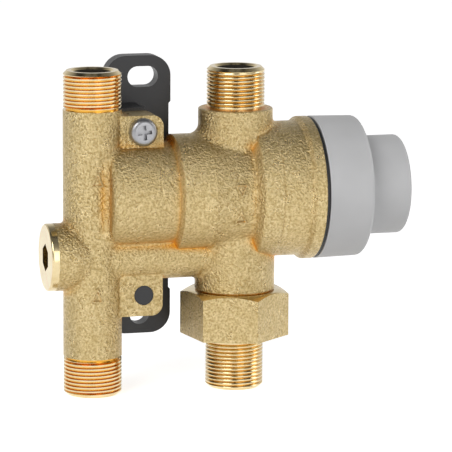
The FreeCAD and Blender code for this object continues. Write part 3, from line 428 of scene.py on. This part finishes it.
def arrow_side(bm, p, q):
    """A short round bar between two points."""
    turn = Vector((0, 0, 1)).rotation_difference((q - p).normalized()).to_matrix().to_4x4()
    bmesh.ops.create_cone(bm, cap_ends=True, segments=8, radius1=ARROW_WIRE, radius2=ARROW_WIRE,
                          depth=(q - p).length * BAR_OVERLAP,
                          matrix=Matrix.Translation((p + q) / 2) @ turn)


def arrow_marks():
    """Outlined triangles that stand proud of the casting: two up the supply pipe, two on the barrel."""
    bm = bmesh.new()
    for place, width, height in ARROWS:
        corners = [(-width / 2, 0), (width / 2, 0), (0, height)]
        for (a, b), (c, d) in zip(corners, corners[1:] + corners[:1]):
            points = [place(a + (c - a) * i / ARROW_STEPS, b + (d - b) * i / ARROW_STEPS)
                      for i in range(ARROW_STEPS + 1)]
            for p, q in zip(points, points[1:]):
                arrow_side(bm, p, q)
    mesh = bpy.data.meshes.new("arrow_marks")
    bm.to_mesh(mesh)
    bm.free()
    add_piece("arrow_marks", mesh, [FINISHES["cast_brass"]])


ARROW_STATION, ARROW_BARREL_R = 34.0 * MM, 14.4 * MM      # along the barrel from the supply pipe's axis
BAR_OVERLAP = 1.15
ARROWS = [(on_pipe(math.radians(-3), 6.4 * MM), 2.5 * MM, 3.3 * MM),
          (on_pipe(math.radians(-3), -22.2 * MM), 2.5 * MM, 3.3 * MM),
          (on_barrel(math.radians(14), -1), 2.8 * MM, 2.9 * MM),
          (on_barrel(math.radians(-24), 1), 2.8 * MM, 2.9 * MM)]
arrow_marks()


# ---- Union nut ------------------------------------------------------------------------------------
def union_nut():
    """The nut turned as it is in the photo, cast on its flats, machined on its ends and bore."""
    mesh, bm = open_mesh("union_nut")
    bmesh.ops.rotate(bm, cent=(PORT_X, AXIS_Y, 0), verts=bm.verts,
                     matrix=Matrix.Rotation(math.radians(NUT_TURN), 3, "Z"))
    for face in bm.faces:
        out = from_axis(face.calc_center_median(), PORT_X)
        face.material_index = 0 if abs(face.normal.z) < 0.05 and out > NUT_FLAT_R else 1
    close_mesh(mesh, bm)
    materials = [FINISHES["cast_brass"], FINISHES["turned_brass"]]
    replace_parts(add_piece("inlet_nut", mesh, materials), "union_nut")


union_nut()


# ---- Springs ----------------------------------------------------------------------------------------
def coil(name, node, axis):
    """A copy of a CAD spring in spring steel, which stands in for the node."""
    low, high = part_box(node)
    piece = add_object(name, frame["nodes"][node].data.copy())
    for slot in piece.material_slots:
        slot.material = FINISHES["spring_steel"]
    start, end = (low + high) / 2, (low + high) / 2
    start[axis], end[axis] = low[axis], high[axis]
    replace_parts(piece, node)
    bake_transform(piece)


coil("hot_check_coil", "hot_check_spring", 0)
coil("cold_check_coil", "cold_check_spring", 2)
coil("overload_coil", "overload_spring", 0)
coil("return_coil", "return_spring", 0)


# ---- Finishes of the CAD nodes --------------------------------------------------------------------
for subpart in frame["record"]["subparts"]:
    target = frame["nodes"][subpart["node"]]
    finish = FINISHES[subpart["material_slot"]]
    for slot in target.material_slots:
        slot.material = finish

# ---- Floor ------------------------------------------------------------------------------------------
FLOOR_SIZE = 12.0
FLOOR_GLOW = 0.68


def floor_material():
    """Pale and matt. Seen straight, in metal or through glass it also glows up to white."""
    g = Graph("pale_floor")
    g.finish(g.mix(g.noise(0.05, 2.0), [0.86, 0.86, 0.86], [0.88, 0.88, 0.88]), 0.9)
    g.shader.inputs["Specular IOR Level"].default_value = 0.1
    path = g.add("ShaderNodeLightPath")
    seen = path.outputs["Is Camera Ray"]
    for ray in ("Is Glossy Ray", "Is Transmission Ray"):
        either = g.add("ShaderNodeMath", operation="MAXIMUM")
        g.link(seen, either.inputs[0])
        g.link(path.outputs[ray], either.inputs[1])
        seen = either.outputs[0]
    glow = g.add("ShaderNodeEmission")
    g.link(g.spread(seen, 0, 1, 0, FLOOR_GLOW), glow.inputs["Strength"])
    both = g.add("ShaderNodeAddShader")
    g.link(g.shader.outputs["BSDF"], both.inputs[0])
    g.link(glow.outputs["Emission"], both.inputs[1])
    g.link(both.outputs["Shader"], g.tree.nodes["Material Output"].inputs["Surface"])
    return g.material


def add_floor():
    mesh = bpy.data.meshes.new("floor")
    c = FLOOR_SIZE / 2
    mesh.from_pydata([(-c, -c, 0), (c, -c, 0), (c, c, 0), (-c, c, 0)], [], [(0, 1, 2, 3)])
    mesh.materials.append(floor_material())
    floor = add_object("floor", mesh)
    floor.location.z = cad_box[0].z


add_floor()

# ---- World: soft panels all round, dimmer overhead ---------------------------------------------------
PANEL_GAPS = ((-15, 12, 0.25), (62, 13, 0.2), (-108, 18, 0.15))   # azimuth, half width, level left
LOW_SKY, HIGH_SKY = (0.25, 0.80), (0.9, 0.18)                     # height of the direction, level
world = bpy.data.worlds.new("studio")
bpy.context.scene.world = world
world.use_nodes = True
sky = world.node_tree


def sky_node(kind, *inputs, **values):
    """A world node whose inputs are given in order, as outputs or numbers."""
    node = sky.nodes.new(kind)
    for key, value in values.items():
        setattr(node, key, value)
    for socket, value in zip(node.inputs, inputs):
        if isinstance(value, (int, float)):
            socket.default_value = value
        else:
            sky.links.new(value, socket)
    return node.outputs[0]


def light_world():
    """Level by height, lowered in the gaps between the panels."""
    split = sky.nodes.new("ShaderNodeSeparateXYZ")
    direction = sky.nodes.new("ShaderNodeTexCoord").outputs["Generated"]
    sky.links.new(direction, split.inputs["Vector"])
    toward = sky_node("ShaderNodeMath", split.outputs["Y"], -1.0, operation="MULTIPLY")
    azimuth = sky_node("ShaderNodeMath", split.outputs["X"], toward, operation="ARCTAN2")
    (low, low_level), (high, high_level) = LOW_SKY, HIGH_SKY
    level = sky_node("ShaderNodeMapRange", split.outputs["Z"], low, high, low_level, high_level,
                     interpolation_type="SMOOTHSTEP")
    for centre, half, left in PANEL_GAPS:
        off = sky_node("ShaderNodeMath", azimuth, math.radians(centre), operation="SUBTRACT")
        off = sky_node("ShaderNodeMath", off, 0.0, operation="ABSOLUTE")
        inner, outer = math.radians(half * 0.6), math.radians(half * 1.4)
        gap = sky_node("ShaderNodeMapRange", off, inner, outer, left, 1.0,
                       interpolation_type="SMOOTHSTEP")
        level = sky_node("ShaderNodeMath", level, gap, operation="MULTIPLY")
    background = sky.nodes["Background"]
    sky.links.new(level, background.inputs["Strength"])
    background.inputs["Color"].default_value = (1, 1, 1, 1)


light_world()


# ---- Lamps and camera --------------------------------------------------------------------------------
def toward_viewer(azimuth, elevation):
    """Unit vector out from the object, with azimuth from the front and elevation in degrees."""
    a, e = math.radians(azimuth), math.radians(elevation)
    return Vector((math.sin(a) * math.cos(e), -math.cos(a) * math.cos(e), math.sin(e)))


def lamp(name, azimuth, elevation, distance, width, height, watts):
    """Soft rectangular lamp that looks at the object's middle."""
    data = bpy.data.lights.new(name, "AREA")
    data.shape = "RECTANGLE"
    data.size, data.size_y, data.energy = width, height, watts
    made = add_object(name, data)
    out = toward_viewer(azimuth, elevation)
    made.location = MIDDLE + out * distance
    made.rotation_mode = "QUATERNION"
    made.rotation_quaternion = out.to_track_quat("Z", "Y")


MIDDLE = (cad_box[0] + cad_box[1]) / 2
lamp("key", -48, 38, 0.9, 0.45, 0.45, 3.0)
lamp("front_fill", 12, 12, 1.1, 0.5, 0.7, 1.7)
lamp("right_edge", 82, 22, 0.9, 0.3, 0.6, 1.6)

CAMERA_AZIMUTH, CAMERA_ELEVATION, CAMERA_ROLL = -15.482, 10.242, 0.322      # degrees
CAMERA_AIM = Vector((18.745, -19.0, -6.03)) * MM
CAMERA_DISTANCE = 828 * MM
FOCAL_OVER_SIDE = 3348.6 / 452        # focal length over the picture's side


def add_camera():
    """The photograph's own viewpoint, with its slight roll."""
    data = bpy.data.cameras.new("camera")
    data.lens = FOCAL_OVER_SIDE * data.sensor_width
    data.clip_start, data.clip_end = 0.05, 30.0
    camera = add_object("camera", data)
    back = toward_viewer(CAMERA_AZIMUTH, CAMERA_ELEVATION)
    turn, roll = math.radians(CAMERA_AZIMUTH), math.radians(CAMERA_ROLL)
    level = Vector((math.cos(turn), math.sin(turn), 0))
    upright = back.cross(level)
    right = level * math.cos(roll) + upright * math.sin(roll)
    up = upright * math.cos(roll) - level * math.sin(roll)
    axes = Matrix((right, up, back)).transposed().to_4x4()
    camera.matrix_world = Matrix.Translation(CAMERA_AIM + back * CAMERA_DISTANCE) @ axes
    bpy.context.scene.camera = camera


add_camera()
bpy.context.scene.view_settings.view_transform = "Standard"
